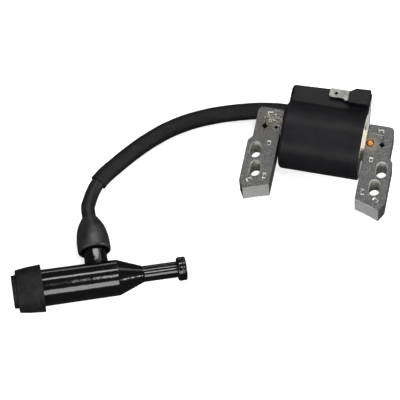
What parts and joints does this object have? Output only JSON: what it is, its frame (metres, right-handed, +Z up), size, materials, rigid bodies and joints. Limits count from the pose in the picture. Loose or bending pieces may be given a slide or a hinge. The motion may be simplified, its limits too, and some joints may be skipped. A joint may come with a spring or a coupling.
{
  "type": "ignition coil",
  "caption": "Flywheel ignition coil with a laminated core, a potted housing, a sleeved high-tension lead and a right-angle spark plug cap.",
  "frame": {"origin": "centre of the four mounting slots, on the underside of the laminated core", "axes": "+Z up out of the core's upper face, +X across the two legs, -Y towards the flywheel"},
  "size_m": [0.1747, 0.1424, 0.034],
  "materials": {
    "lamination": "matte, dull grey electrical steel with a thin varnish",
    "rivet_steel": "satin",
    "copper": "dull copper",
    "housing_plastic": "satin black moulding",
    "resin": "cream potting resin, satin",
    "bobbin_plastic": "off-white nylon",
    "magnet_wire": "enamelled copper wire",
    "board": "green glass-fibre board",
    "ceramic": "fired ceramic",
    "tinned_tab": "tin-plated, satin",
    "brass": "satin brass",
    "lead_rubber": "smooth black insulation",
    "woven_sleeve": "varnished black woven sleeve",
    "boot_rubber": "soft black rubber, matte",
    "cap_plastic": "hard glossy black plastic"
  },
  "bodies": {
    "coil": {"left_pole_leg": "lamination", "right_pole_leg": "lamination", "core_crossbar": "lamination", "core_rivet": "rivet_steel", "ground_rivet": "copper", "coil_housing": "housing_plastic", "potting_resin": "resin", "primary_bobbin": "bobbin_plastic", "primary_winding": "magnet_wire", "secondary_bobbin": "bobbin_plastic", "secondary_winding": "magnet_wire", "circuit_board": "board", "switch_transistor": "housing_plastic", "board_resistors": "ceramic", "kill_terminal": "tinned_tab", "output_terminal": "brass", "ht_lead_insulation": "lead_rubber", "ht_lead_conductor": "tinned_tab", "braided_sleeve": "woven_sleeve"},
    "plug_cap": {"plug_cap_body": "cap_plastic", "plug_seal": "boot_rubber", "lead_screw": "brass", "suppressor_resistor": "ceramic", "resistor_spring": "rivet_steel", "contact_retainer": "brass", "plug_contact": "brass"},
    "boot": {"stem_boot": "boot_rubber"}
  },
  "joints": [
    {"name": "cap_swivel", "type": "hinge", "parent": "coil", "child": "plug_cap", "pos_m": [-0.09543, -0.07236, -0.00093], "axis": [-0.3628, 0.9299, -0.0612], "continuous": true},
    {"name": "boot_slide", "type": "slide", "parent": "coil", "child": "boot", "axis": [-0.3628, 0.9299, -0.0612], "range_m": [0, 0.005]}
  ]
}
